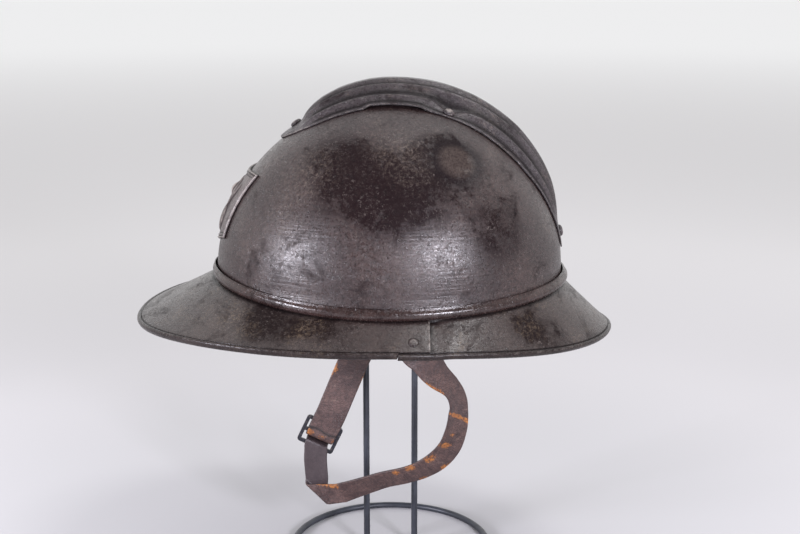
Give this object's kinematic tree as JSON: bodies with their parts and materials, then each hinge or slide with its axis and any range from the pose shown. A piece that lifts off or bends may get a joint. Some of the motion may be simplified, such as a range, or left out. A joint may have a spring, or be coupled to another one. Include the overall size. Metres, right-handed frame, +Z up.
{
  "type": "adrian helmet on a wire display stand",
  "caption": "Pressed steel helmet with a raised crest, front badge, sloping brim and leather chin strap, held up by a plain wire stand.",
  "frame": {"origin": "on the ground, under the middle of the helmet's length and width", "axes": "+Z up, -Y towards the front, +X towards the wearer's left"},
  "size_m": [0.2262, 0.2968, 0.3065],
  "materials": {
    "dome_paint": "worn satin paint",
    "brim_paint": "worn satin paint",
    "crest_paint": "worn satin paint",
    "badge_paint": "worn matt paint",
    "rivet_steel": "worn paint over steel",
    "dark_steel": "blackened",
    "black_wire": "satin black",
    "brown_leather": "worn and cracked"
  },
  "bodies": {
    "root": {"skull": "dome_paint", "joint_band": "dome_paint", "visor": "brim_paint", "neck_guard": "brim_paint", "crest": "crest_paint", "badge": "badge_paint", "crest_rivet_front": "rivet_steel", "crest_rivet_rear": "rivet_steel", "crest_rivet_left": "rivet_steel", "crest_rivet_right": "rivet_steel", "brim_rivet_left": "rivet_steel", "brim_rivet_right": "rivet_steel", "strap_lug_left": "dark_steel", "strap_lug_right": "dark_steel", "chin_strap": "brown_leather", "upper_strap": "brown_leather", "buckle": "dark_steel", "stand": "black_wire"}
  },
  "joints": []
}
